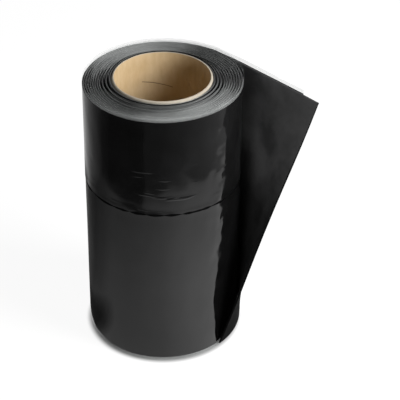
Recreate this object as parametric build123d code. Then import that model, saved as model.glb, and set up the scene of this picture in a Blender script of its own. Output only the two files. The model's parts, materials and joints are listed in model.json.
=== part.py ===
# Roll of rubber flashing tape standing on its end: a paper core, the wound rubber
# tape with its loose tail, and the clear release liner, which is slit into two strips.
# The frame's origin is on the roll's axis at the floor, and +Z runs up the axis.
# Lengths are in millimetres. Angles are in degrees about +Z from +X, and seen from
# above the tape unrolls clockwise.

import os
from math import cos, radians, sin

from build123d import *

# Paper core
core_bore_diameter = 76.2
core_wall = 3.2
core_proud_foot = 0.3  # core below the liner's lower edge
core_proud_head = 1.2  # core above the liner's upper edge

# Rubber tape
tape_width = 228.6
tape_thickness = 1.65
wound_turns = 12

# Release liner
liner_thickness = 0.15
liner_overhang = 3.4  # liner past each edge of the tape
liner_split_height = 147.0  # slit above the liner's lower edge
liner_split_gap = 0.3
liner_short_foot = 50.0  # end of the tail that the liner's foot leaves bare
liner_short_head = 16.0  # and its head
turn_flats = 30  # flats that draw each turn of the liner's edge between the tape's turns

# Loose tail: its foot is still stuck to the roll as far as tail_end_angle,
# and its head runs off the roll towards tail_heading, a little bowed
tail_lift_angle = 60.0
tail_end_angle = -42.5
tail_heading = -37.0
tail_bow = 3.2
tail_droop = 8.0  # fall of the tail's upper edge from the roll to its corner
tail_root_sink = 0.35  # depth of the tail's root under the roll's surface

# Radii, heights and lengths that follow from them
turn_pitch = tape_thickness + liner_thickness
core_radius = core_bore_diameter / 2 + core_wall
wound_radius = core_radius + wound_turns * turn_pitch
rubber_radius = wound_radius - liner_thickness
liner_foot = core_proud_foot
tape_foot = liner_foot + liner_overhang
tape_head = tape_foot + tape_width
liner_head = tape_head + liner_overhang
core_length = liner_head + core_proud_head
tail_root_radius = rubber_radius - tail_root_sink
tail_climb = tail_root_sink + liner_thickness + tape_thickness
tail_length = (tail_root_radius + tail_climb / 2) * radians(tail_lift_angle - tail_end_angle)


def polar(radius, angle, height):
    return Vector(radius * cos(radians(angle)), radius * sin(radians(angle)), height)


# Run of the tail's head, and the planes of the rubber's edges there and at its foot
tail_run = polar(tail_length, tail_heading, -tail_droop)
tail_across = polar(1, tail_heading + 90, 0)
tail_foot_plane = Plane.XY.offset(tape_foot)
tail_head_plane = Plane(
    polar(rubber_radius, tail_lift_angle, tape_head),
    x_dir=tail_across,
    z_dir=tail_run.cross(tail_across),
)


def tube(inner, outer, low, high):
    """A turned tube about the roll's axis."""
    outline = Polyline((inner, low), (outer, low), (outer, high), (inner, high), close=True)
    return revolve(Plane.XZ * make_face(outline), Axis.Z)


def foot_edge(offset):
    """The tail's foot, which climbs from under the roll's surface to lie on the liner."""
    middle_angle = (tail_lift_angle + tail_end_angle) / 2
    return ThreePointArc(
        polar(tail_root_radius + offset, tail_lift_angle, liner_foot),
        polar(tail_root_radius + offset + tail_climb / 2, middle_angle, liner_foot),
        polar(tail_root_radius + offset + tail_climb, tail_end_angle, liner_foot),
    )


def head_edge(offset):
    """The tail's head, which bows off the roll and falls towards its corner."""
    start = polar(tail_root_radius, tail_lift_angle, liner_head) + tail_across * offset
    return ThreePointArc(start, start + tail_run / 2 + tail_across * tail_bow, start + tail_run)


def tail_layer(inner_offset, outer_offset, foot_short=0, head_short=0):
    """A layer of the tail over the liner's width, with straight rulings from foot to head.

    Offsets are measured outwards from the rubber's outer face, and the layer may
    stop short of the tail's end.
    """
    sections = []
    for edge, short in ((foot_edge, foot_short), (head_edge, head_short)):
        share = 1 - short / tail_length
        inner = edge(inner_offset).trim(0, share)
        outer = edge(outer_offset).trim(0, share)
        sections.append(make_face([inner, Line(inner @ 1, outer @ 1), outer, Line(outer @ 0, inner @ 0)]))
    return loft(sections, ruled=True)


def make_tape():
    """The wound tape and its tail, with the liner film that lies on the rubber."""
    tail = tail_layer(-tape_thickness, liner_thickness)
    tail = split(tail, tail_foot_plane, keep=Keep.TOP)
    tail = split(tail, tail_head_plane, keep=Keep.BOTTOM)
    return tube(core_radius, rubber_radius, tape_foot, tape_head) + tail


def turn_edge(height):
    """The liner's edge at one end of the roll, wound between the tape's turns from the core outwards."""
    inner = []
    outer = []
    for step in range((wound_turns - 1) * turn_flats + 1):
        turns = step / turn_flats
        radius = core_radius + (turns + 1) * turn_pitch - 1.5 * liner_thickness
        angle = tail_lift_angle - 360 * turns
        inner.append(polar(radius, angle, height))
        outer.append(polar(radius + liner_thickness, angle, height))
    return extrude(make_face(Polyline(*inner, *reversed(outer), close=True)), liner_overhang, dir=(0, 0, 1))


def make_liner(tape):
    """The liner's outermost turn, its edges between the turns and its free edges past the tail."""
    outer_turn = tube(rubber_radius, wound_radius, liner_foot, liner_head)
    tail_film = tail_layer(0, liner_thickness, liner_short_foot, liner_short_head)
    tail_foot = split(tail_film, tail_foot_plane, keep=Keep.BOTTOM)
    tail_head = split(tail_film, tail_head_plane, keep=Keep.TOP)
    wound_edges = turn_edge(liner_foot) + turn_edge(tape_head)
    return outer_turn + wound_edges + tail_foot + tail_head - tape


def main():
    core = tube(core_bore_diameter / 2, core_radius, 0, core_length)
    tape = make_tape()
    liner = make_liner(tape)
    slit_height = liner_foot + liner_split_height
    below_slit = Plane.XY.offset(slit_height - liner_split_gap / 2)
    above_slit = Plane.XY.offset(slit_height + liner_split_gap / 2)
    pieces = {
        "core_tube": core,
        "tape_roll": tape,
        "liner_lower": split(liner, below_slit, keep=Keep.BOTTOM),
        "liner_upper": split(liner, above_slit, keep=Keep.TOP),
    }
    os.makedirs("parts", exist_ok=True)
    for name, piece in pieces.items():
        export_step(piece, f"parts/{name}.step")


main()
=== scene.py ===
import json
import math
from functools import partial

import bmesh
import bpy
from mathutils import Matrix, Vector, noise as handNoise


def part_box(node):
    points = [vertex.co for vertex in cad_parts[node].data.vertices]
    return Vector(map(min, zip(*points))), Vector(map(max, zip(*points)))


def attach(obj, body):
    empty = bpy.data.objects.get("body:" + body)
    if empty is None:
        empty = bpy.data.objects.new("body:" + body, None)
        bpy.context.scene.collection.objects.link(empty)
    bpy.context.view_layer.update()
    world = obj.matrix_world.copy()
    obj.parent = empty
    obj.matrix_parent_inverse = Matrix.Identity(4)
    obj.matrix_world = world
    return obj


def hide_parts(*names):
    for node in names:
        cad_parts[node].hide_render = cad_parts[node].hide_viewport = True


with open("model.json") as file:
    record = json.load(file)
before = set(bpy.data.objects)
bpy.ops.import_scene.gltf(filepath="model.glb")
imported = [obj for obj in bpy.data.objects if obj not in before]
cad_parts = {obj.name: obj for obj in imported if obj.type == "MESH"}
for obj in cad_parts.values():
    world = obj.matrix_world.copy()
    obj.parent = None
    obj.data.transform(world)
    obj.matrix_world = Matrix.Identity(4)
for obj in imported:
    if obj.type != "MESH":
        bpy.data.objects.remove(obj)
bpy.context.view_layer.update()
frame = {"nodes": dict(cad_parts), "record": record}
scene = bpy.context.scene
print("frame loaded:", sorted(frame["nodes"]))

# sizes read off the CAD frame, in metres
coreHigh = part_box("core_tube")[1]
tapeLow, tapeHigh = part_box("tape_roll")
lowerLow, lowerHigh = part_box("liner_lower")
upperLow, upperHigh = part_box("liner_upper")
boreMount = next(mount for mount in frame["record"]["mounts"] if mount["name"] == "core_bore")
boreRadius = boreMount["dims"]["r_mm"] / 1000
coreRadius, coreTop = coreHigh.x, coreHigh.z
tapeFoot, tapeHead = tapeLow.z, tapeHigh.z
filmFoot, filmHead = lowerLow.z, upperHigh.z
slitLow, slitHigh = lowerHigh.z, upperLow.z
woundRadius = -lowerLow.x
fullTurn = 2 * math.pi
tiny = 1e-6  # a length or a share too small to matter


# camera at the photo's place: tilt and roll in degrees, lens and sensor in mm
cameraSizes = {
    "place": (0.0303, -1.1199, 0.8873), "tilt": 34.435, "roll": 0.475,
    "lens": 148.55, "sensor": 36, "clip": (0.05, 50),
}


def makeCamera(sizes):
    tilt, roll = math.radians(sizes["tilt"]), math.radians(sizes["roll"])
    forward = Vector((0, math.cos(tilt), -math.sin(tilt)))
    side = Vector((1, 0, 0))
    up = side.cross(forward)
    camX = side * math.cos(roll) + up * math.sin(roll)
    camY = up * math.cos(roll) - side * math.sin(roll)
    turn = Matrix((camX, camY, -forward)).transposed().to_4x4()
    data = bpy.data.cameras.new("photoCamera")
    data.sensor_width = sizes["sensor"]
    data.lens = sizes["lens"]
    data.clip_start, data.clip_end = sizes["clip"]
    camera = bpy.data.objects.new("photoCamera", data)
    camera.matrix_world = Matrix.Translation(sizes["place"]) @ turn
    scene.collection.objects.link(camera)
    scene.camera = camera


makeCamera(cameraSizes)
print("camera placed")


# node helpers, used by the winding and by the materials

def plug(tree, socket, value):
    if isinstance(value, bpy.types.NodeSocket):
        tree.links.new(value, socket)
    elif value is not None:
        socket.default_value = value


def addNode(tree, kind, inputs=None, **settings):
    node = tree.nodes.new(kind)
    for name, value in settings.items():
        setattr(node, name, value)
    for name, value in (inputs or {}).items():
        plug(tree, node.inputs[name], value)
    return node


def calc(tree, operation, *values):
    return addNode(tree, "ShaderNodeMath", dict(enumerate(values)), operation=operation).outputs[0]


def vecCalc(tree, operation, *values):
    names = ["Vector", "Scale"] if operation == "SCALE" else [0, 1]
    node = addNode(tree, "ShaderNodeVectorMath", dict(zip(names, values)), operation=operation)
    return node.outputs["Value" if operation == "LENGTH" else "Vector"]


def joinXyz(tree, x=0.0, y=0.0, z=0.0):
    return addNode(tree, "ShaderNodeCombineXYZ", {"X": x, "Y": y, "Z": z}).outputs[0]


def splitXyz(tree, vector):
    return addNode(tree, "ShaderNodeSeparateXYZ", {"Vector": vector}).outputs


# Mix has its own sockets for each kind of value: first and second input, and result
mixSockets = {"VECTOR": (4, 5, 1), "RGBA": (6, 7, 2)}


def mix(tree, kind, factor, first, second, **settings):
    firstAt, secondAt, resultAt = mixSockets[kind]
    inputs = {0: factor, firstAt: first, secondAt: second}
    return addNode(tree, "ShaderNodeMix", inputs, data_type=kind, **settings).outputs[resultAt]


def mixVectors(tree, factor, first, second):
    return mix(tree, "VECTOR", factor, first, second, clamp_factor=False)


def mixColours(tree, factor, first, second, blend="MIX"):
    return mix(tree, "RGBA", factor, first, second, blend_type=blend)


def spread(tree, value, fromLow, fromHigh, low=0.0, high=1.0, kind="LINEAR"):
    inputs = {"Value": value, "From Min": fromLow, "From Max": fromHigh, "To Min": low, "To Max": high}
    return addNode(tree, "ShaderNodeMapRange", inputs, interpolation_type=kind).outputs["Result"]


ease = partial(spread, kind="SMOOTHSTEP")


def noise(tree, vector, scale, detail=3.0, roughness=0.5, seed=None):
    inputs = {"Vector": vector, "Scale": scale, "Detail": detail, "Roughness": roughness}
    node = addNode(tree, "ShaderNodeTexNoise", inputs)
    if seed is not None:
        node.noise_dimensions = "4D"
        plug(tree, node.inputs["W"], seed)
    return node.outputs["Fac"]


# material helpers

def emptyMaterial(name):
    material = bpy.data.materials.new(name)
    material.use_nodes = True
    tree = material.node_tree
    tree.nodes.clear()
    return material, tree, tree.nodes.new("ShaderNodeOutputMaterial").inputs["Surface"]


def newMaterial(name):
    material, tree, surface = emptyMaterial(name)
    shader = tree.nodes.new("ShaderNodeBsdfPrincipled")
    plug(tree, surface, shader.outputs[0])
    return material, tree, shader


def mapped(tree, place, scale):
    return addNode(tree, "ShaderNodeMapping", {"Vector": place, "Scale": scale}).outputs[0]


def objectPlace(tree, scale=(1, 1, 1)):
    return mapped(tree, tree.nodes.new("ShaderNodeTexCoord").outputs["Object"], scale)


def stripPlace(tree, scale=(1, 1, 1)):  # along the flat strip, up it and through it
    place = addNode(tree, "ShaderNodeAttribute", attribute_name="stripPlace").outputs["Vector"]
    return mapped(tree, place, scale)


def ramp(tree, factor, stops):
    node = addNode(tree, "ShaderNodeValToRGB", {"Fac": factor})
    elements = node.color_ramp.elements
    while len(elements) < len(stops):
        elements.new(0.5)
    for element, (place, colour) in zip(elements, stops):
        element.position = place
        element.color = (*colour, 1)
    return node.outputs["Color"]


def greyRamp(tree, factor, stops):
    return ramp(tree, factor, [(place, (shade,) * 3) for place, shade in stops])


def grey(shade):
    return shade, shade, shade, 1


def bump(tree, shader, height, distance, strength):
    node = addNode(tree, "ShaderNodeBump", {"Height": height, "Distance": distance, "Strength": strength})
    plug(tree, shader.inputs["Normal"], node.outputs["Normal"])


# the wound strip: a flat strip is cut, wound on the core and peeled off as the tail
windSizes = {
    "layers": 12,  # layers that fill the CAD roll's wall
    "turns": 11.28,  # turns wound before the tail lifts off
    "filmThickness": 0.00015,
    "stepsPerTurn": 140,
    "sharpAngle": math.radians(50),
    # the outer turns are slack at the head, with a peak and a broad flank before it
    "slack": 0.0044, "slackAngle": math.radians(27), "flankAngle": math.radians(19),
    "slackPeak": (0.6, 14.0), "slackFlank": (0.4, 2.5),  # share and sharpness of each
    "slackFoot": 0.08, "slackFade": 1.5,  # share left at the foot, and how fast it fades to the core
}

# the tail: its head runs straight off the roll and its foot stays on it
tailSizes = {
    "liftAngle": math.radians(49.7), "endAngle": math.radians(-42.5),
    "reach": 0.1047,  # length of its head
    "droop": 0.008,  # fall of its corner
    "tip": 0.0003, "tipFrom": (0.82, 0.85),  # bend of the very corner, from these shares along and up
    "hug": 0.65, "hugEnd": 0.955,  # how closely it hugs the roll above its foot, and at its end
    "dent": 0.026, "dentSharp": 3.0,  # how far its middle falls back from a straight ruling
    "bow": 0.0015, "bowOver": 0.25,  # how far it stands off the roll where it leaves it
    "flare": 0.0014, "flareSharp": 8.0, "flareAlong": (0.1, 0.5),  # how far its foot stands off
    "belly": 0.0072, "bellySharp": 3.0, "bellyWay": (-0.24, -1.0, 0.0),  # belly of its end over the foot
    "bellyUp": (0.0, 0.15), "bellyDown": (0.25, 0.62),  # shares of height where the belly comes and goes
}

# edges of rubber and film, and the film's ripples
edgeSizes = {
    "standFrom": 0.6, "standTurns": 3.4,  # turns from the core over which less and less stands up
    "standRise": (0.982, 0.997),  # share of the height where it begins
    "standSide": math.radians(205), "sideLean": 0.7,  # side where it leans in most, and how much more
    "uneven": 0.0011, "unevenMiddle": 0.6, "unevenSeed": 6.0,  # how unevenly the turns end at the head
    "unevenWave": 2.6, "unevenRise": (0.94, 0.995), "unevenTurns": (10.0, 11.0),
    "edgeWave": 2.2, "edgeDrift": 0.45, "edgeGain": 5.0,  # wave of a free edge, and its change each turn
    "edgeLeast": 0.15,  # share of its height that the film's edge has next to the core
    "rippleWaves": (45.0, 15.0, 2.0),  # waves in a metre along and up, and their detail
    "wrinkleWaves": (24.0, 150.0, 1.0),
    "wrinkleRise": (-0.004, 0.028),  # heights over the slit between which the wrinkles fade
    "tearWaves": 75.0, "tearSeed": 4.0, "tearSpan": (0.40, 0.54),  # torn edge of the slit
}

# what follows from them
pitch = (woundRadius - coreRadius) / windSizes["layers"]
rubberThickness = pitch - windSizes["filmThickness"]
liftTurn = fullTurn * windSizes["turns"]
lastTurn = liftTurn + tailSizes["liftAngle"] - tailSizes["endAngle"]


def stripLength(turn):
    return turn * (coreRadius + pitch * turn / fullTurn / 2)


# rubber: cloudy faces and plain cut edges; the bared face has painted shade up the tail and grows darker
# along it
rubberFinish = {
    "cutReach": (0.0009, 0.0004),  # in from the edge, where the cut's colour begins and is full
    "cutColour": (0.022, 0.022, 0.0225, 1),
    # the bared inner face is painted far lighter than black rubber, as painted light that the lamps give
    # it too little of
    "inside": {
        "dark": (0.060, 0.060, 0.061), "light": (0.182, 0.182, 0.183),
        "gloss": 0.5, "roughness": 0.5,
        # painted shade on the bared face: dark low down and a little darker at the top; along the tail it
        # grows darker towards its end
        "paintedShadeUp": [(0.2, 0.18), (0.53, 0.16), (0.72, 1.0), (0.92, 0.54)],
        "darkerAlong": [(0.3, 1.0), (0.6, 0.80), (1.0, 0.50)],
    },
    # the outer face is painted darker than the inner one, as painted shade where the key lamp lights it
    "outside": {
        "dark": (0.003, 0.003, 0.0031), "light": (0.005, 0.005, 0.0051),
        "gloss": 0.012, "roughness": 0.75,
    },
}


def rubberMaterial(name, finish, face):
    material, tree, shader = newMaterial(name)
    cloud = noise(tree, stripPlace(tree, (1, 0.8, 1)), scale=26, detail=4, roughness=0.6)
    grain = noise(tree, objectPlace(tree), scale=1400, detail=2)
    strip = splitXyz(tree, stripPlace(tree))
    colour = ramp(tree, cloud, [(0.34, face["dark"]), (0.66, face["light"])])
    # painted shade up the tail, times the darkening along it
    if "paintedShadeUp" in face:
        upShare = spread(tree, strip["Y"], tapeFoot, tapeHead)
        alongShare = spread(tree, strip["X"], stripLength(liftTurn), stripLength(lastTurn))
        paintedShadeUp = greyRamp(tree, upShare, face["paintedShadeUp"])
        darkerAlong = greyRamp(tree, alongShare, face["darkerAlong"])
        tailDarkening = mixColours(tree, 1.0, paintedShadeUp, darkerAlong, "MULTIPLY")
        colour = mixColours(tree, 1.0, colour, tailDarkening, "MULTIPLY")
    halfWidth = (tapeHead - tapeFoot) / 2
    fromMiddle = calc(tree, "ABSOLUTE", calc(tree, "SUBTRACT", strip["Y"], (tapeFoot + tapeHead) / 2))
    cutEdge = spread(tree, fromMiddle, *[halfWidth - reach for reach in finish["cutReach"]])
    rough = face["roughness"]
    plug(tree, shader.inputs["Base Color"], mixColours(tree, cutEdge, colour, finish["cutColour"]))
    plug(tree, shader.inputs["Roughness"], spread(tree, cloud, 0.3, 0.7, rough - 0.1, rough + 0.1))
    shader.inputs["Specular IOR Level"].default_value = face["gloss"]
    bump(tree, shader, grain, distance=0.0001, strength=0.35)
    return material


# film: on the rubber it ripples, more so beside the tail, and short folds run along it above the slit
filmFinish = {
    "dark": (0.0026, 0.0026, 0.0026), "light": (0.0056, 0.0056, 0.0058),
    "roughness": (0.06, 0.13), "ior": 1.55,
    "rippleDepth": 0.0011,
    "tailRipple": 3.2, "tailSide": (0.034, 0.048),  # how much more beside the tail, and where that begins
    "foldFrom": 0.012, "foldTo": 0.050,  # heights over the slit where the folds are deepest and end
    "foldDepth": 0.23, "foldSpan": (0.63, 0.76),
    # the film where it stands free
    "freeDark": (0.66, 0.69, 0.68), "freeLight": (0.80, 0.82, 0.81),
    "freeRoughness": 0.25, "freeIor": 1.5, "freeAlpha": 0.115,
}


def bondedFilmMaterial(finish):
    material, tree, shader = newMaterial("filmOnRubber")
    haze = noise(tree, stripPlace(tree), scale=35, detail=4, roughness=0.6)
    ripple = noise(tree, stripPlace(tree, (1, 0.45, 1)), scale=42, detail=2, roughness=0.4)
    tailWave = noise(tree, stripPlace(tree, (1, 0.7, 1)), scale=42, detail=2, seed=6.0)
    side = splitXyz(tree, objectPlace(tree))["X"]
    nearTail = ease(tree, side, *finish["tailSide"], 0.0, finish["tailRipple"])
    relief = calc(tree, "MULTIPLY_ADD", calc(tree, "SUBTRACT", tailWave, 0.5), nearTail,
                  calc(tree, "SUBTRACT", ripple, 0.5))

    up = splitXyz(tree, stripPlace(tree))["Y"]
    foldFrom, foldTo = slitHigh + finish["foldFrom"], slitHigh + finish["foldTo"]
    folded = calc(tree, "MULTIPLY", spread(tree, up, slitHigh, foldFrom),
                  spread(tree, up, foldFrom, foldTo, finish["foldDepth"], 0.0))
    foldNoise = noise(tree, stripPlace(tree, (0.17, 1, 1)), scale=280, detail=1, seed=7.0)
    relief = calc(tree, "MULTIPLY_ADD", spread(tree, foldNoise, *finish["foldSpan"]), folded, relief)

    colour = ramp(tree, haze, [(0.35, finish["dark"]), (0.75, finish["light"])])
    plug(tree, shader.inputs["Base Color"], colour)
    plug(tree, shader.inputs["Roughness"], spread(tree, haze, 0.3, 0.7, *finish["roughness"]))
    shader.inputs["IOR"].default_value = finish["ior"]
    bump(tree, shader, relief, distance=finish["rippleDepth"], strength=0.75)
    return material


def freeFilmMaterial(finish):
    material, tree, shader = newMaterial("freeFilmEdge")
    haze = noise(tree, stripPlace(tree, (0.25, 1, 1)), scale=90)
    colour = ramp(tree, haze, [(0.3, finish["freeDark"]), (0.7, finish["freeLight"])])
    plug(tree, shader.inputs["Base Color"], colour)
    shader.inputs["Roughness"].default_value = finish["freeRoughness"]
    shader.inputs["IOR"].default_value = finish["freeIor"]
    shader.inputs["Alpha"].default_value = finish["freeAlpha"]
    return material


# one rubber as two copies: painted lighter inside and painted darker outside
rubberInsidePaintedLight = rubberMaterial("rubberInsidePaintedLight", rubberFinish, rubberFinish["inside"])
rubberOutsidePaintedShade = rubberMaterial("rubberOutsidePaintedShade", rubberFinish, rubberFinish["outside"])
filmOnRubber = bondedFilmMaterial(filmFinish)
freeFilmEdge = freeFilmMaterial(filmFinish)
print("tape and film materials made")


def newTree(name, sizes):
    tree = bpy.data.node_groups.new(name, "GeometryNodeTree")
    tree.interface.new_socket("Geometry", in_out="OUTPUT", socket_type="NodeSocketGeometry")
    for socketName, value in sizes.items():
        kind = {int: "Int", float: "Float"}.get(type(value), "Material")
        socket = tree.interface.new_socket(socketName, in_out="INPUT", socket_type="NodeSocket" + kind)
        if value is not None:
            socket.default_value = value
    return tree, tree.nodes.new("NodeGroupInput").outputs


def makeFromTree(name, tree, values):
    holder = bpy.data.objects.new(name + "Holder", bpy.data.meshes.new(name + "Start"))
    scene.collection.objects.link(holder)
    modifier = holder.modifiers.new("nodes", "NODES")
    modifier.node_group = tree
    sockets = {item.name: item.identifier for item in tree.interface.items_tree if item.in_out == "INPUT"}
    for socketName, value in values.items():
        modifier[sockets[socketName]] = value
    depsgraph = bpy.context.evaluated_depsgraph_get()
    mesh = bpy.data.meshes.new_from_object(holder.evaluated_get(depsgraph))
    mesh.name = name
    mesh.set_sharp_from_angle(angle=windSizes["sharpAngle"])
    holder.modifiers.remove(modifier)
    bpy.data.objects.remove(holder)
    piece = bpy.data.objects.new(name, mesh)
    scene.collection.objects.link(piece)
    return piece


def joinPieces(keeper, other):
    with bpy.context.temp_override(active_object=keeper, selected_editable_objects=[keeper, other]):
        bpy.ops.object.join()


def windTree(roll, tail, edges):
    tree, given = newTree("windStrip", {
        # the strip: angles wound from the core on, heights, and its place on the rubber
        "First Angle": 0.0, "Last Angle": lastTurn, "Foot": tapeFoot, "Head": tapeHead,
        "Under": 0.0, "Thickness": rubberThickness, "Along": 100, "Across": 12,
        # its edges: where they begin, their share of the rows, how they lean, round off and grow
        "Edge Foot": tapeFoot, "Edge Head": tapeHead, "Foot Share": 0.0, "Head Share": 0.0,
        "Foot Lean": 0.0, "Head Lean": 0.0, "Foot Bias": 0.5, "Head Bias": 0.5, "Round": 0.0,
        "Foot Ragged": 0.0, "Head Ragged": 0.0, "Free Foot": 0.0, "Free Head": 0.0, "Free Outside": 0.0,
        "Stand Up": 0.0, "Stand In": 0.0, "Stand Turns": edges["standTurns"],
        "Stand Side": edges["standSide"], "Uneven": edges["uneven"],
        "Ripple": 0.0, "Wrinkle": 0.0, "Seed": 0.0,
        # the roll and its tail
        "Core Radius": coreRadius, "Wound Radius": woundRadius, "Pitch": pitch, "Lift Turn": liftTurn,
        "Tape Foot": tapeFoot, "Tape Head": tapeHead,
        "Slack": roll["slack"], "Slack Angle": roll["slackAngle"], "Flank Angle": roll["flankAngle"],
        "End Angle": tail["endAngle"], "Tail Reach": tail["reach"], "Droop": tail["droop"],
        "Tip": tail["tip"], "Hug": tail["hug"], "Dent": tail["dent"], "Bow": tail["bow"],
        "Flare": tail["flare"], "Belly": tail["belly"],
        "Body": None, "Edge": None,
    })
    do, vec, xyz, remap, smooth = (partial(way, tree) for way in (calc, vecCalc, joinXyz, spread, ease))

    # a flat strip: X is the angle wound so far, Y goes down across it, Z is its thickness
    span = do("SUBTRACT", given["Last Angle"], given["First Angle"])
    strip = addNode(tree, "GeometryNodeMeshCube", {
        "Size": xyz(span, 1.0, given["Thickness"]),
        "Vertices X": given["Along"], "Vertices Y": given["Across"], "Vertices Z": 2})
    flat = splitXyz(tree, tree.nodes.new("GeometryNodeInputPosition").outputs[0])
    turn = do("ADD", do("MULTIPLY_ADD", span, 0.5, flat["X"]), given["First Angle"])
    share = do("SUBTRACT", 0.5, flat["Y"])

    # height across the strip, with rows kept for its edges
    footTo = do("MAXIMUM", given["Foot Share"], tiny)
    headFrom = do("SUBTRACT", 1.0, given["Head Share"])
    footPart = remap(share, 0.0, footTo, given["Foot"], given["Edge Foot"])
    bodyPart = remap(share, given["Foot Share"], headFrom, given["Edge Foot"], given["Edge Head"])
    headPart = remap(share, do("MINIMUM", headFrom, 1 - tiny), 1.0, given["Edge Head"], given["Head"])
    height = do("SUBTRACT", do("ADD", do("ADD", footPart, bodyPart), headPart),
                do("ADD", given["Edge Foot"], given["Edge Head"]))
    rise = remap(height, given["Tape Foot"], given["Tape Head"])
    pastFoot = do("MAXIMUM", do("SUBTRACT", given["Edge Foot"], height), 0.0)
    pastHead = do("MAXIMUM", do("SUBTRACT", height, given["Edge Head"]), 0.0)

    # thickness, rounded off at the edges of the rubber
    footEdge = do("MAXIMUM", do("SUBTRACT", given["Edge Foot"], given["Foot"]), tiny)
    headEdge = do("MAXIMUM", do("SUBTRACT", given["Head"], given["Edge Head"]), tiny)
    footOut = do("DIVIDE", pastFoot, footEdge)
    headOut = do("DIVIDE", pastHead, headEdge)
    reach = do("MULTIPLY", given["Round"], do("ADD", footOut, headOut))
    thin = do("SQRT", do("SUBTRACT", 1.0, do("MULTIPLY", reach, reach)))
    middle = do("MULTIPLY_ADD", given["Thickness"], 0.5, given["Under"])
    outward = do("MULTIPLY_ADD", flat["Z"], thin, middle)

    # place on the roll: each turn lies a pitch further out, and the outer turns are slack on one side
    angle = do("ADD", given["End Angle"], do("SUBTRACT", lastTurn, turn))
    liftAngle = do("ADD", given["End Angle"], do("SUBTRACT", lastTurn, given["Lift Turn"]))
    slackUp = do("MULTIPLY_ADD", rise, 1 - roll["slackFoot"], roll["slackFoot"])
    slackRise = do("MULTIPLY", given["Slack"], slackUp)

    def lobe(away, size, sharpness, rest=0.0):
        facing = do("MAXIMUM", do("COSINE", away), 0.0)
        return do("MULTIPLY_ADD", do("POWER", facing, sharpness), size, rest)

    def rollRadius(turnNow, angleNow):
        radius = do("MULTIPLY_ADD", given["Pitch"], do("DIVIDE", turnNow, fullTurn), given["Core Radius"])
        depth = remap(radius, given["Core Radius"], given["Wound Radius"])
        fromPeak = do("SUBTRACT", angleNow, given["Slack Angle"])
        flank = lobe(do("ADD", fromPeak, given["Flank Angle"]), *roll["slackFlank"])
        way = lobe(fromPeak, *roll["slackPeak"], flank)
        slack = do("MULTIPLY", do("MULTIPLY", do("POWER", depth, roll["slackFade"]), way), slackRise)
        return radius, do("ADD", radius, slack)

    radius, woundAt = rollRadius(turn, angle)
    liftAt = rollRadius(given["Lift Turn"], liftAngle)[1]
    spoke = xyz(do("COSINE", angle), do("SINE", angle))
    liftSpoke = xyz(do("COSINE", liftAngle), do("SINE", liftAngle))
    liftWay = xyz(do("SINE", liftAngle), do("MULTIPLY", do("COSINE", liftAngle), -1.0))

    # how far each point of the tail is lifted: a ruling from foot to head, hugging the roll lower down
    loose = do("MAXIMUM", do("SUBTRACT", turn, given["Lift Turn"]), 0.0)
    looseShare = do("DIVIDE", loose, do("SUBTRACT", lastTurn, given["Lift Turn"]))
    hug = do("MULTIPLY_ADD", do("SUBTRACT", 1.0, looseShare), given["Hug"], tail["hugEnd"])
    middling = do("MULTIPLY", do("MULTIPLY", rise, do("SUBTRACT", 1.0, rise)), 4.0)  # 1 half-way up
    dentUp = do("POWER", do("MAXIMUM", middling, 0.0), tail["dentSharp"])
    dent = do("MULTIPLY", do("MULTIPLY", given["Dent"], looseShare), dentUp)
    lift = do("MULTIPLY", do("SUBTRACT", do("POWER", rise, hug), dent), do("GREATER_THAN", loose, 0.0))

    # place on the tail, between the roll and the straight run of the head
    tipAlong, tipUp = tail["tipFrom"]
    corner = do("MULTIPLY", smooth(looseShare, tipAlong, 1.0), smooth(rise, tipUp, 1.0))
    bend = do("MULTIPLY", given["Tip"], corner)
    run = do("SUBTRACT", do("MULTIPLY", looseShare, given["Tail Reach"]), bend)
    bowed = do("MULTIPLY_ADD", smooth(looseShare, 0.0, tail["bowOver"]), given["Bow"], liftAt)
    straight = vec("ADD", vec("SCALE", liftSpoke, bowed), vec("SCALE", liftWay, run))
    lifted = mixVectors(tree, lift, vec("SCALE", spoke, woundAt), straight)
    lowDown = do("MULTIPLY", smooth(rise, *tail["bellyUp"]), smooth(rise, *tail["bellyDown"], 1.0, 0.0))
    bellyAlong = do("MULTIPLY", given["Belly"], do("POWER", looseShare, tail["bellySharp"]))
    base = vec("ADD", lifted, vec("SCALE", tail["bellyWay"], do("MULTIPLY", bellyAlong, lowDown)))
    faceWay = vec("NORMALIZE", mixVectors(tree, lift, spoke, liftSpoke))
    sag = do("MULTIPLY_ADD", do("MULTIPLY", given["Droop"], lift), looseShare, bend)

    # next to the core the rubber stands up, and the turns end unevenly
    turnCount = do("DIVIDE", turn, fullTurn)
    nearCore = do("MULTIPLY", remap(turnCount, edges["standFrom"], given["Stand Turns"], 1.0, 0.0),
                  remap(rise, *edges["standRise"]))
    rankPlace = xyz(do("MULTIPLY", turnCount, edges["unevenWave"]))
    rank = noise(tree, rankPlace, 1.0, detail=1.0, seed=edges["unevenSeed"])
    atHead = do("MULTIPLY", smooth(rise, *edges["unevenRise"]),
                remap(turnCount, *edges["unevenTurns"], 1.0, 0.0))
    uneven = do("MULTIPLY", given["Uneven"], do("SUBTRACT", rank, edges["unevenMiddle"]))
    standing = do("MULTIPLY_ADD", given["Stand Up"], nearCore, do("MULTIPLY", uneven, atHead))
    toSide = do("MAXIMUM", do("COSINE", do("SUBTRACT", angle, given["Stand Side"])), 0.0)
    leanIn = do("MULTIPLY", do("MULTIPLY", given["Stand In"], nearCore),
                do("MULTIPLY_ADD", toSide, edges["sideLean"], 1.0))

    # free edges lean and wave, and are shorter next to the core
    waveSeed = do("MULTIPLY_ADD", turnCount, edges["edgeDrift"], given["Seed"])
    wave = noise(tree, vec("SCALE", spoke, edges["edgeWave"]), 1.0, seed=waveSeed)
    grown = remap(turnCount, 0.0, given["Stand Turns"], edges["edgeLeast"], 1.0)

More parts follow.
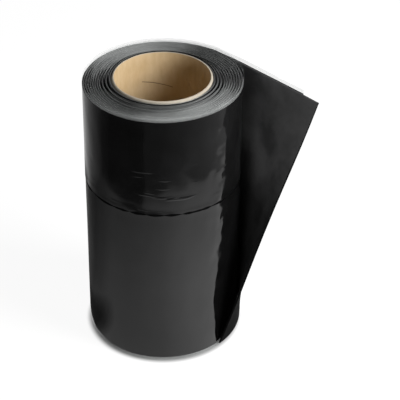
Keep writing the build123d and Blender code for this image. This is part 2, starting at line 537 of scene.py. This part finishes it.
    def leaning(past, lean, bias):
        length = do("MULTIPLY", past, grown)
        slope = do("MULTIPLY", lean, do("MULTIPLY", do("SUBTRACT", wave, bias), edges["edgeGain"]))
        stretch = do("SQRT", do("MULTIPLY_ADD", slope, slope, 1.0))
        upright = do("DIVIDE", length, stretch)
        return do("MULTIPLY", upright, slope), do("SUBTRACT", past, upright)

    footSide, footFold = leaning(pastFoot, given["Foot Lean"], given["Foot Bias"])
    headSide, headFold = leaning(pastHead, given["Head Lean"], given["Head Bias"])

    # the bonded film ripples, wrinkles above the slit, and has a ragged edge there
    along = do("MULTIPLY", turn, do("MULTIPLY", do("ADD", radius, given["Core Radius"]), 0.5))

    def rippling(size, alongWaves, upWaves, detail):
        place = xyz(do("MULTIPLY", along, alongWaves), do("MULTIPLY", height, upWaves))
        return do("MULTIPLY", size, noise(tree, place, 1.0, detail, seed=given["Seed"]))

    overSlit = do("SUBTRACT", height, given["Edge Foot"])
    wrinkle = do("MULTIPLY", given["Wrinkle"], smooth(overSlit, *edges["wrinkleRise"], 1.0, 0.0))
    swell = do("ADD", rippling(given["Ripple"], *edges["rippleWaves"]),
               rippling(wrinkle, *edges["wrinkleWaves"]))
    flareUp = do("POWER", do("SUBTRACT", 1.0, rise), tail["flareSharp"])
    flareHere = do("MULTIPLY", flareUp, smooth(looseShare, *tail["flareAlong"]))
    flared = do("MULTIPLY", given["Flare"], flareHere)
    tearPlace = xyz(do("MULTIPLY", along, edges["tearWaves"]))
    tears = remap(noise(tree, tearPlace, 1.0, detail=2.0, seed=edges["tearSeed"]), *edges["tearSpan"])
    torn = do("MULTIPLY", tears, do("SUBTRACT", do("MULTIPLY", given["Foot Ragged"], footOut),
                                    do("MULTIPLY", given["Head Ragged"], headOut)))

    # all of it together
    stoodOff = do("ADD", outward, do("ADD", swell, flared))
    outwardNow = do("SUBTRACT", do("ADD", stoodOff, do("ADD", footSide, headSide)), leanIn)
    folded = do("SUBTRACT", do("ADD", height, footFold), headFold)
    placeZ = do("SUBTRACT", do("ADD", do("ADD", folded, torn), standing), sag)
    place = vec("ADD", vec("ADD", base, vec("SCALE", faceWay, outwardNow)), xyz(0.0, 0.0, placeZ))
    lowEnd = do("LESS_THAN", height, do("ADD", given["Edge Foot"], tiny))
    highEnd = do("GREATER_THAN", height, do("SUBTRACT", given["Edge Head"], tiny))
    tailEnd = do("GREATER_THAN", turn, do("SUBTRACT", given["Last Angle"], 100 * tiny))
    outside = do("MAXIMUM", tailEnd, do("GREATER_THAN", flat["Z"], 0.0))
    free = do("ADD", do("ADD", do("MULTIPLY", given["Free Foot"], lowEnd),
                        do("MULTIPLY", given["Free Head"], highEnd)),
              do("MULTIPLY", given["Free Outside"], outside))
    finishTree(tree, given, strip.outputs["Mesh"], xyz(along, height, outward), free, place)
    return tree


# the place on the flat strip is kept for the materials, then the strip is wound and painted
def finishTree(tree, given, mesh, flatPlace, free, place):
    kept = addNode(tree, "GeometryNodeStoreNamedAttribute", {
        "Geometry": mesh, "Name": "stripPlace", "Value": flatPlace},
        data_type="FLOAT_VECTOR", domain="POINT")
    marked = addNode(tree, "GeometryNodeStoreNamedAttribute", {
        "Geometry": kept.outputs[0], "Name": "freeEdge", "Value": free},
        data_type="FLOAT", domain="POINT")
    moved = addNode(tree, "GeometryNodeSetPosition", {"Geometry": marked.outputs[0], "Position": place})
    smooth = addNode(tree, "GeometryNodeSetShadeSmooth", {"Geometry": moved.outputs[0]})
    real = addNode(tree, "GeometryNodeRealizeInstances", {"Geometry": smooth.outputs[0]})
    painted = addNode(tree, "GeometryNodeSetMaterial", {
        "Geometry": real.outputs[0], "Material": given["Body"]})
    mark = addNode(tree, "GeometryNodeInputNamedAttribute", {"Name": "freeEdge"}, data_type="FLOAT")
    allFree = calc(tree, "GREATER_THAN", mark.outputs[0], 0.9)  # only faces with every corner marked
    edged = addNode(tree, "GeometryNodeSetMaterial", {
        "Geometry": painted.outputs[0], "Material": given["Edge"], "Selection": allFree})
    plug(tree, tree.nodes.new("NodeGroupOutput").inputs[0], edged.outputs[0])


windStrip = windTree(windSizes, tailSizes, edgeSizes)


def steps(first, last):
    return int(windSizes["stepsPerTurn"] * (last - first) / fullTurn)


# rubber tape, with its edges rounded off
tapeSizes = {
    "bodyRows": 12, "edgeRows": 3, "edgeReach": 0.0007, "round": 0.93,
    "standUp": 0.0038, "standIn": 0.0017,  # next to the core
}


def makeTape(sizes):
    across = sizes["bodyRows"] + 2 * sizes["edgeRows"] + 1
    share = sizes["edgeRows"] / (across - 1)
    tape = makeFromTree("rubberTape", windStrip, {
        "Along": steps(0, lastTurn), "Across": across, "Foot Share": share, "Head Share": share,
        "Edge Foot": tapeFoot + sizes["edgeReach"], "Edge Head": tapeHead - sizes["edgeReach"],
        "Round": sizes["round"], "Stand Up": sizes["standUp"], "Stand In": sizes["standIn"],
        "Free Outside": 1.0, "Body": rubberInsidePaintedLight, "Edge": rubberOutsidePaintedShade})
    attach(tape, "root")
    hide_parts("tape_roll")
    print("tape wound:", len(tape.data.polygons), "faces")


makeTape(tapeSizes)

# release liner: the outermost film and, on each end of the roll, the film's edge between the turns
linerSizes = {
    "coverRows": 44, "edgeRows": 5, "slitRows": 3, "finRows": 5, "tuck": 0.003,
    "lean": 0.22, "leanBias": 0.505,  # free edges: how far they lean, and inwards or outwards
    "slitReach": 0.005, "slitLean": 0.02, "slitBias": 0.3,  # film lifted along the slit
    "slitClose": 0.00011, "slitRagged": 0.0012,  # the slit's edges meet here and are torn there
    "ripple": 0.0006, "wrinkle": 0.00022,
    "headShort": 0.016, "footShort": 0.050,  # end of the tail left bare
    "headSeed": 3.0, "footSeed": 11.0,
}


def makeLiner(name, node, upper, sizes):
    if upper:
        free, slit, seed, wrinkle = "Head", "Foot", sizes["headSeed"], sizes["wrinkle"]
        low, high, edgeAt = slitHigh - sizes["slitClose"], filmHead, tapeHead
        slitAt, tucked = low + sizes["slitReach"], edgeAt - sizes["tuck"]
        finLow, finHigh = tucked, high
        bareTurn = sizes["headShort"] / (woundRadius + pitch)
    else:
        free, slit, seed, wrinkle = "Foot", "Head", sizes["footSeed"], 0.0
        low, high, edgeAt = filmFoot, slitLow + sizes["slitClose"], tapeFoot
        slitAt, tucked = high - sizes["slitReach"], edgeAt + sizes["tuck"]
        finLow, finHigh = low, tucked
        bareTurn = sizes["footShort"] / woundRadius
    coverFrom, coverTo = liftTurn - fullTurn, lastTurn - bareTurn
    shared = {
        "Under": rubberThickness, "Thickness": windSizes["filmThickness"], "Seed": seed,
        "Body": filmOnRubber, "Edge": freeFilmEdge,
        "Edge " + free: edgeAt, free + " Lean": sizes["lean"], free + " Bias": sizes["leanBias"],
        "Free " + free: 1.0,
    }

    across = sizes["coverRows"] + sizes["edgeRows"] + sizes["slitRows"] + 1
    cover = makeFromTree(name, windStrip, {
        **shared, "First Angle": coverFrom, "Last Angle": coverTo, "Foot": low, "Head": high,
        "Along": steps(coverFrom, coverTo), "Across": across,
        free + " Share": sizes["edgeRows"] / (across - 1), "Ripple": sizes["ripple"], "Wrinkle": wrinkle,
        "Edge " + slit: slitAt, slit + " Share": sizes["slitRows"] / (across - 1),
        slit + " Lean": sizes["slitLean"], slit + " Bias": sizes["slitBias"],
        slit + " Ragged": sizes["slitRagged"]})

    across = sizes["finRows"] + 2
    fins = makeFromTree(name + "Fins", windStrip, {
        **shared, "Last Angle": coverFrom, "Foot": finLow, "Head": finHigh,
        "Along": steps(0, coverFrom), "Across": across,
        free + " Share": sizes["finRows"] / (across - 1), "Edge " + slit: tucked,
        "Stand Up": tapeSizes["standUp"], "Stand In": tapeSizes["standIn"]})
    joinPieces(cover, fins)
    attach(cover, "root")
    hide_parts(node)
    print(name, "made:", len(cover.data.polygons), "faces")


makeLiner("linerUpper", "liner_upper", True, linerSizes)
makeLiner("linerLower", "liner_lower", False, linerSizes)


# paper core: the bore shows the seam of its spiral-wound ply, with painted shade where it gapes open, and
# the cut rim is rounded off outwards
coreSizes = {
    "around": 160, "sharpAngle": math.radians(38),
    # degrees: middle and half of each open stretch of the seam, on to the next, and how it closes
    "seamOpen": (97, 21), "seamStep": 137, "seamFade": 8,
    "seamPitch": 0.063, "seamStart": 0.002, "seamHalf": 0.0004, "seamDepth": 0.0004,
    "seamDark": 0.3,  # share of its depth from which the seam gets painted shade
    "rimCurve": [(0.0, 0.08), (0.05, 0.0), (0.21, 0.01), (0.34, 0.06), (0.43, 0.16), (0.51, 0.34),
                 (0.56, 0.6), (0.60, 1.0), (1.0, 1.8)],  # out and down, in shares of the wall
    "wear": 0.00025, "wearWaves": 6, "wearReach": 0.3,  # of the rim, down to a share of the wall
    "papers": {  # dark, light and roughness
        "corePaper": ((0.525, 0.372, 0.196), (0.640, 0.487, 0.295), 0.8),
        "cutPaper": ((0.50, 0.44, 0.35), (0.63, 0.57, 0.47), 0.9),
        "seamPaintedShade": ((0.20, 0.13, 0.065), (0.28, 0.19, 0.10), 0.9),
    },
}


def paperMaterial(name, dark, light, roughness):
    material, tree, shader = newMaterial(name)
    fibre = noise(tree, objectPlace(tree, (1, 1, 0.3)), scale=230, detail=5, roughness=0.65)
    cloud = noise(tree, objectPlace(tree), scale=28)
    tone = calc(tree, "ADD", calc(tree, "MULTIPLY", fibre, 0.45), calc(tree, "MULTIPLY", cloud, 0.55))
    plug(tree, shader.inputs["Base Color"], ramp(tree, tone, [(0.35, dark), (0.65, light)]))
    shader.inputs["Roughness"].default_value = roughness
    shader.inputs["Specular IOR Level"].default_value = 0.25
    bump(tree, shader, fibre, distance=0.0002, strength=0.5)
    return material


def makeCore(sizes):
    wall = coreRadius - boreRadius
    around = sizes["around"]
    edge = sizes["rimCurve"][0][1] * wall
    foot = [(coreRadius, edge), (coreRadius - edge, 0), (boreRadius + edge, 0), (boreRadius, edge)]
    rim = [(boreRadius + out * wall, coreTop - fall * wall) for out, fall in sizes["rimCurve"]]
    lowSeam = -math.ceil(sizes["seamStart"] / sizes["seamPitch"]) - 1
    highSeam = math.ceil(coreTop / sizes["seamPitch"])
    seamRows = (-2, -1, 0, 1, 2)  # rows across the seam, with the groove in the middle one

    def gape(seam, step):
        openAt, openHalf = sizes["seamOpen"]
        away = 360 * step / around - openAt - sizes["seamStep"] * (highSeam - 1 - seam)
        away = (away + 180) % 360 - 180
        return min(max((openHalf - abs(away)) / sizes["seamFade"], 0), 1)

    def column(step):
        points = list(foot)
        for seam in range(lowSeam, highSeam):
            middle = sizes["seamStart"] + sizes["seamPitch"] * (seam + step / around)
            for row in seamRows:
                z = min(max(middle + row * sizes["seamHalf"], edge), coreTop - edge)
                deep = row == 0 and edge < z < coreTop - edge
                points.append((boreRadius + (sizes["seamDepth"] * gape(seam, step) if deep else 0), z))
        return points + rim

    shape = bmesh.new()
    columns = []
    for step in range(around + 1):
        angle = fullTurn * step / around
        way = Vector((math.cos(angle), math.sin(angle), 0))
        rimWear = sizes["wear"] * (0.5 + 0.5 * handNoise.noise(way * sizes["wearWaves"]))
        ring = []
        for radius, z in column(step):
            worn = rimWear if z > coreTop - sizes["wearReach"] * wall else 0
            ring.append(shape.verts.new(way * radius + Vector((0, 0, z - worn))))
        columns.append(ring)

    mesh = bpy.data.meshes.new("paperCore")
    for name, paper in sizes["papers"].items():
        mesh.materials.append(paperMaterial(name, *paper))
    cutPaper, seamPaintedShade = mesh.materials.find("cutPaper"), mesh.materials.find("seamPaintedShade")
    rimFrom = len(columns[0]) - len(rim)
    for step, (left, right) in enumerate(zip(columns, columns[1:])):
        for row in range(len(left)):
            after = (row + 1) % len(left)
            face = shape.faces.new((left[row], right[row], right[after], left[after]))
            seam, seamRow = divmod(row - len(foot), len(seamRows))
            if row >= rimFrom:
                face.material_index = cutPaper
            # painted shade in the seam where it gapes open
            elif row >= len(foot) and seamRow in (1, 2) and gape(lowSeam + seam, step) > sizes["seamDark"]:
                face.material_index = seamPaintedShade
            face.smooth = True
    bmesh.ops.remove_doubles(shape, verts=shape.verts[:], dist=tiny)
    bmesh.ops.recalc_face_normals(shape, faces=shape.faces[:])
    shape.to_mesh(mesh)
    shape.free()
    mesh.set_sharp_from_angle(angle=sizes["sharpAngle"])
    core = bpy.data.objects.new("paperCore", mesh)
    scene.collection.objects.link(core)
    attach(core, "root")
    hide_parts("core_tube")
    print("core made:", len(mesh.polygons), "faces")


makeCore(coreSizes)


# floor, and a dark surround past the lit floor, which only the gloss shows; it also carries painted
# reflections of the floor's falloff of light and of the roll's shadow on it
stageSizes = {
    "floorHalf": 6.0, "floorGrey": 0.86,
    "whiteness": 0.93, "shade": 0.2,  # the floor's own white, and the share that takes light and shadow
    "paintedShadowUnderRoll": (0.0600, 0.0675), "paintedShadowWhite": 0.05,  # painted shadow under the roll: radii where that white fades in, and from what
    "surroundFrom": 0.0665, "surroundTo": 2.5, "surroundHeight": 0.0008,
    "surroundSteps": 96, "surroundGrey": 0.01,
    # painted light and shade of the lit floor and what lies past it, as the gloss shows them, by degrees
    # round the roll from the front to the right
    "patchReach": [(-180, 0.290), (-129, 0.255), (-110, 0.270), (-90, 0.298), (-70, 0.287), (-55, 0.280),
                   (-42, 0.278), (-26, 0.278), (-20, 0.308), (0, 0.312), (45, 0.322), (90, 0.330),
                   (180, 0.290)],
    "patchEdge": 0.012,
    "patchFall": (0.16, 0.30, 0.36),  # light falling off over the patch: from, to and how much
    "patchShade": [(-180, 0.45), (-150, 0.72), (-129, 0.90), (-104, 0.91), (-86, 0.82), (-70, 0.67),
                   (-55, 0.60), (-42, 0.55), (-29, 0.49), (-15, 0.41), (0, 0.32), (18, 0.12),
                   (35, 0.0), (100, 0.05), (180, 0.45)],
    "pastShade": [(-180, 0.55), (-150, 0.42), (-128, 0.56), (-112, 0.78), (-98, 0.88), (-90, 0.95),
                  (-75, 0.98), (-25, 0.975), (-19, 0.93), (0, 0.92), (25, 0.87), (40, 0.83),
                  (64, 0.75), (90, 0.70), (180, 0.55)],
    # painted shadow of the roll on the floor next to it
    "contactShade": [(-180, 0.0), (-150, 0.60), (-120, 0.97), (-75, 0.97), (-66, 0.90), (-58, 0.72),
                     (-50, 0.45), (-42, 0.20), (-36, 0.0)],
    "contactReach": (0.078, 0.20),
}


def seenRay(tree):
    ray = tree.nodes.new("ShaderNodeLightPath").outputs
    mirrored = calc(tree, "MAXIMUM", ray["Is Glossy Ray"], ray["Is Transmission Ray"])
    return calc(tree, "MAXIMUM", ray["Is Camera Ray"], mirrored)


def floorMaterial(sizes):
    material, tree, surface = emptyMaterial("paleFloor")
    fromAxis = vecCalc(tree, "LENGTH", objectPlace(tree, (1, 1, 0)))
    # painted shadow under the roll in the floor's white
    strength = ease(tree, fromAxis, *sizes["paintedShadowUnderRoll"], sizes["paintedShadowWhite"], sizes["whiteness"])
    paper = addNode(tree, "ShaderNodeBsdfDiffuse", {"Color": grey(sizes["floorGrey"])})
    white = addNode(tree, "ShaderNodeEmission", {"Color": grey(1), "Strength": strength})
    shaded = addNode(tree, "ShaderNodeBsdfDiffuse", {"Color": grey(sizes["shade"])})
    seen = addNode(tree, "ShaderNodeAddShader", {0: white.outputs[0], 1: shaded.outputs[0]})
    mixed = addNode(tree, "ShaderNodeMixShader", {
        0: seenRay(tree), 1: paper.outputs[0], 2: seen.outputs[0]})
    plug(tree, surface, mixed.outputs[0])
    return material


def surroundMaterial(sizes):
    material, tree, surface = emptyMaterial("darkSurroundAndPaintedShade")
    place = objectPlace(tree, (1, 1, 0))
    side = splitXyz(tree, place)
    bearing = calc(tree, "ARCTAN2", side["X"], calc(tree, "MULTIPLY", side["Y"], -1.0))
    bearingShare = spread(tree, bearing, -math.pi, math.pi)
    fromRoll = vecCalc(tree, "LENGTH", place)

    def byBearing(stops):
        return greyRamp(tree, bearingShare, [((degrees + 180) / 360, value) for degrees, value in stops])

    fallFrom, fallTo, fallDepth = sizes["patchFall"]
    # painted falloff of light over the lit patch
    lit = calc(tree, "MULTIPLY", spread(tree, byBearing(sizes["patchShade"]), 0.0, 1.0, 1.0, 0.0),
               spread(tree, fromRoll, fallFrom, fallTo, 1.0, 1.0 - fallDepth))
    pastReach = calc(tree, "SUBTRACT", fromRoll, byBearing(sizes["patchReach"]))
    past = ease(tree, pastReach, -sizes["patchEdge"], sizes["patchEdge"])
    shade = mixColours(tree, past, calc(tree, "SUBTRACT", 1.0, lit), byBearing(sizes["pastShade"]))
    # painted shadow of the roll next to it
    contact = calc(tree, "MULTIPLY", byBearing(sizes["contactShade"]),
                   ease(tree, fromRoll, *sizes["contactReach"], 1.0, 0.0))
    clear = tree.nodes.new("ShaderNodeBsdfTransparent")
    dark = addNode(tree, "ShaderNodeBsdfDiffuse", {"Color": grey(sizes["surroundGrey"])})
    mixed = addNode(tree, "ShaderNodeMixShader", {
        0: calc(tree, "MAXIMUM", shade, contact), 1: clear.outputs[0], 2: dark.outputs[0]})
    plug(tree, surface, mixed.outputs[0])
    return material


def addStage(name, points, faces, material):
    mesh = bpy.data.meshes.new(name)
    mesh.from_pydata(points, [], faces)
    mesh.materials.append(material)
    piece = bpy.data.objects.new(name, mesh)
    scene.collection.objects.link(piece)
    return piece


def makeStage(sizes):
    reach = sizes["floorHalf"]
    corners = [(-reach, -reach, 0), (reach, -reach, 0), (reach, reach, 0), (-reach, reach, 0)]
    addStage("floor", corners, [(0, 1, 2, 3)], floorMaterial(sizes))

    around = sizes["surroundSteps"]
    points = []
    for radius in (sizes["surroundFrom"], sizes["surroundTo"]):
        for step in range(around):
            turn = fullTurn * step / around
            points.append((radius * math.cos(turn), radius * math.sin(turn), sizes["surroundHeight"]))
    faces = [(i, (i + 1) % around, around + (i + 1) % around, around + i) for i in range(around)]
    surround = addStage("darkSurroundAndPaintedShade", points, faces, surroundMaterial(sizes))
    surround.visible_camera = False
    surround.visible_diffuse = False
    surround.visible_shadow = False
    surround.visible_transmission = False


makeStage(stageSizes)

# lamps, and the fill of the white world, which is seen at full strength
lampSizes = {
    "lamps": {  # place, aim, size and power
        "keyLamp": ((0.77, -0.33, 0.72), (0.0, 0.0, 0.12), 0.6, 12.6),
        "frontLamp": ((-0.42, -1.18, 0.21), (0.06, 0.0, 0.14), 0.5, 3.6),
    },
    "fill": 0.055,
}


def makeLamps(sizes):
    for name, (place, aim, size, power) in sizes["lamps"].items():
        data = bpy.data.lights.new(name, "AREA")
        data.shape = "DISK"
        data.size = size
        data.energy = power
        lamp = bpy.data.objects.new(name, data)
        turn = (Vector(aim) - Vector(place)).to_track_quat("-Z", "Y").to_matrix().to_4x4()
        lamp.matrix_world = Matrix.Translation(place) @ turn
        scene.collection.objects.link(lamp)

    world = bpy.data.worlds.new("studio")
    world.use_nodes = True
    tree = world.node_tree
    tree.nodes.clear()
    strength = spread(tree, seenRay(tree), 0.0, 1.0, sizes["fill"], 1.0)
    sky = addNode(tree, "ShaderNodeBackground", {"Color": grey(1), "Strength": strength})
    output = tree.nodes.new("ShaderNodeOutputWorld")
    plug(tree, output.inputs["Surface"], sky.outputs[0])
    scene.world = world


makeLamps(lampSizes)
scene.view_settings.view_transform = "Standard"
print("stage and lamps set")
